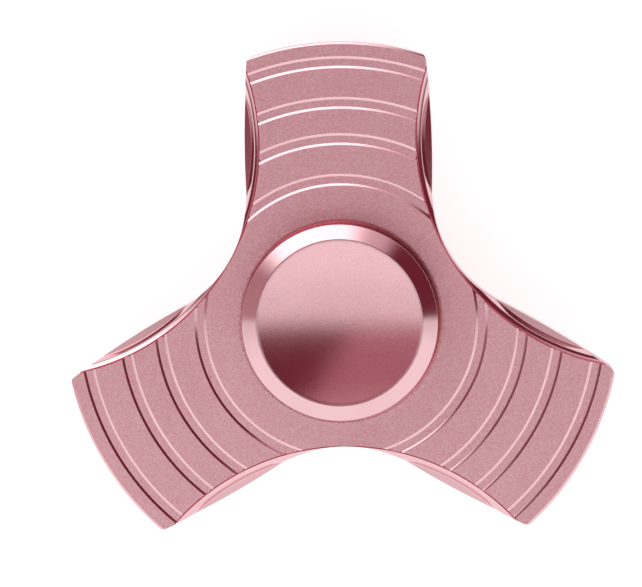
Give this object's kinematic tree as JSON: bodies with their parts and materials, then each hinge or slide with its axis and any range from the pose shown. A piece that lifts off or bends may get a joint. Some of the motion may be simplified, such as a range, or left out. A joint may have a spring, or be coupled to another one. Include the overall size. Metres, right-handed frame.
{
  "type": "fidget spinner",
  "caption": "Fidget spinner: grooved arms with stepped, bowed sides turn on a shielded ball bearing between dished finger buttons.",
  "frame": {"origin": "on the spin axis, at the middle of the bearing", "axes": "+Z along the spin axis out of the top button, +Y along one arm at rest"},
  "size_m": [0.0734, 0.0655, 0.0182],
  "materials": {
    "rose_body": "bead-blasted rose-gold anodised",
    "rose_button": "turned and bright-cut rose-gold anodised",
    "ring_steel": "ground bearing steel",
    "ball_steel": "polished bearing steel",
    "cage_steel": "pressed steel sheet",
    "shield_steel": "pressed steel sheet",
    "clip_steel": "spring steel wire",
    "stud_steel": "plain steel"
  },
  "bodies": {
    "hub": {"top_button": "rose_button", "bottom_button": "rose_button", "hub_stud": "stud_steel", "inner_ring": "ring_steel"},
    "rotor": {"rotor_body": "rose_body", "outer_ring": "ring_steel", "upper_shield": "shield_steel", "lower_shield": "shield_steel", "upper_shield_clip": "clip_steel", "lower_shield_clip": "clip_steel"},
    "cage": {"cage_upper": "cage_steel", "cage_lower": "cage_steel", "cage_rivets": "cage_steel"},
    "rolling_ball_1": {"ball_1": "ball_steel"},
    "rolling_ball_2": {"ball_2": "ball_steel"},
    "rolling_ball_3": {"ball_3": "ball_steel"},
    "rolling_ball_4": {"ball_4": "ball_steel"},
    "rolling_ball_5": {"ball_5": "ball_steel"},
    "rolling_ball_6": {"ball_6": "ball_steel"},
    "rolling_ball_7": {"ball_7": "ball_steel"}
  },
  "joints": [
    {"name": "rotor_spin", "type": "hinge", "parent": "hub", "child": "rotor", "pos_m": [0, 0, 0], "axis": [0, 0, 1], "continuous": true},
    {"name": "cage_orbit", "type": "hinge", "parent": "hub", "child": "cage", "pos_m": [0, 0, 0], "axis": [0, 0, 1], "continuous": true},
    {"name": "ball_1_roll", "type": "hinge", "parent": "cage", "child": "rolling_ball_1", "pos_m": [0, 0.0075, 0], "axis": [0, 0, 1], "continuous": true},
    {"name": "ball_2_roll", "type": "hinge", "parent": "cage", "child": "rolling_ball_2", "pos_m": [-0.00586, 0.00468, 0], "axis": [0, 0, 1], "continuous": true},
    {"name": "ball_3_roll", "type": "hinge", "parent": "cage", "child": "rolling_ball_3", "pos_m": [-0.00731, -0.00167, 0], "axis": [0, 0, 1], "continuous": true},
    {"name": "ball_4_roll", "type": "hinge", "parent": "cage", "child": "rolling_ball_4", "pos_m": [-0.00325, -0.00676, 0], "axis": [0, 0, 1], "continuous": true},
    {"name": "ball_5_roll", "type": "hinge", "parent": "cage", "child": "rolling_ball_5", "pos_m": [0.00325, -0.00676, 0], "axis": [0, 0, 1], "continuous": true},
    {"name": "ball_6_roll", "type": "hinge", "parent": "cage", "child": "rolling_ball_6", "pos_m": [0.00731, -0.00167, 0], "axis": [0, 0, 1], "continuous": true},
    {"name": "ball_7_roll", "type": "hinge", "parent": "cage", "child": "rolling_ball_7", "pos_m": [0.00586, 0.00468, 0], "axis": [0, 0, 1], "continuous": true}
  ],
  "couplings": [
    {"joint": "cage_orbit", "follows": "rotor_spin", "ratio": 0.6323},
    {"joint": "ball_1_roll", "follows": "rotor_spin", "ratio": 1.7573},
    {"joint": "ball_2_roll", "follows": "rotor_spin", "ratio": 1.7573},
    {"joint": "ball_3_roll", "follows": "rotor_spin", "ratio": 1.7573},
    {"joint": "ball_4_roll", "follows": "rotor_spin", "ratio": 1.7573},
    {"joint": "ball_5_roll", "follows": "rotor_spin", "ratio": 1.7573},
    {"joint": "ball_6_roll", "follows": "rotor_spin", "ratio": 1.7573},
    {"joint": "ball_7_roll", "follows": "rotor_spin", "ratio": 1.7573}
  ]
}
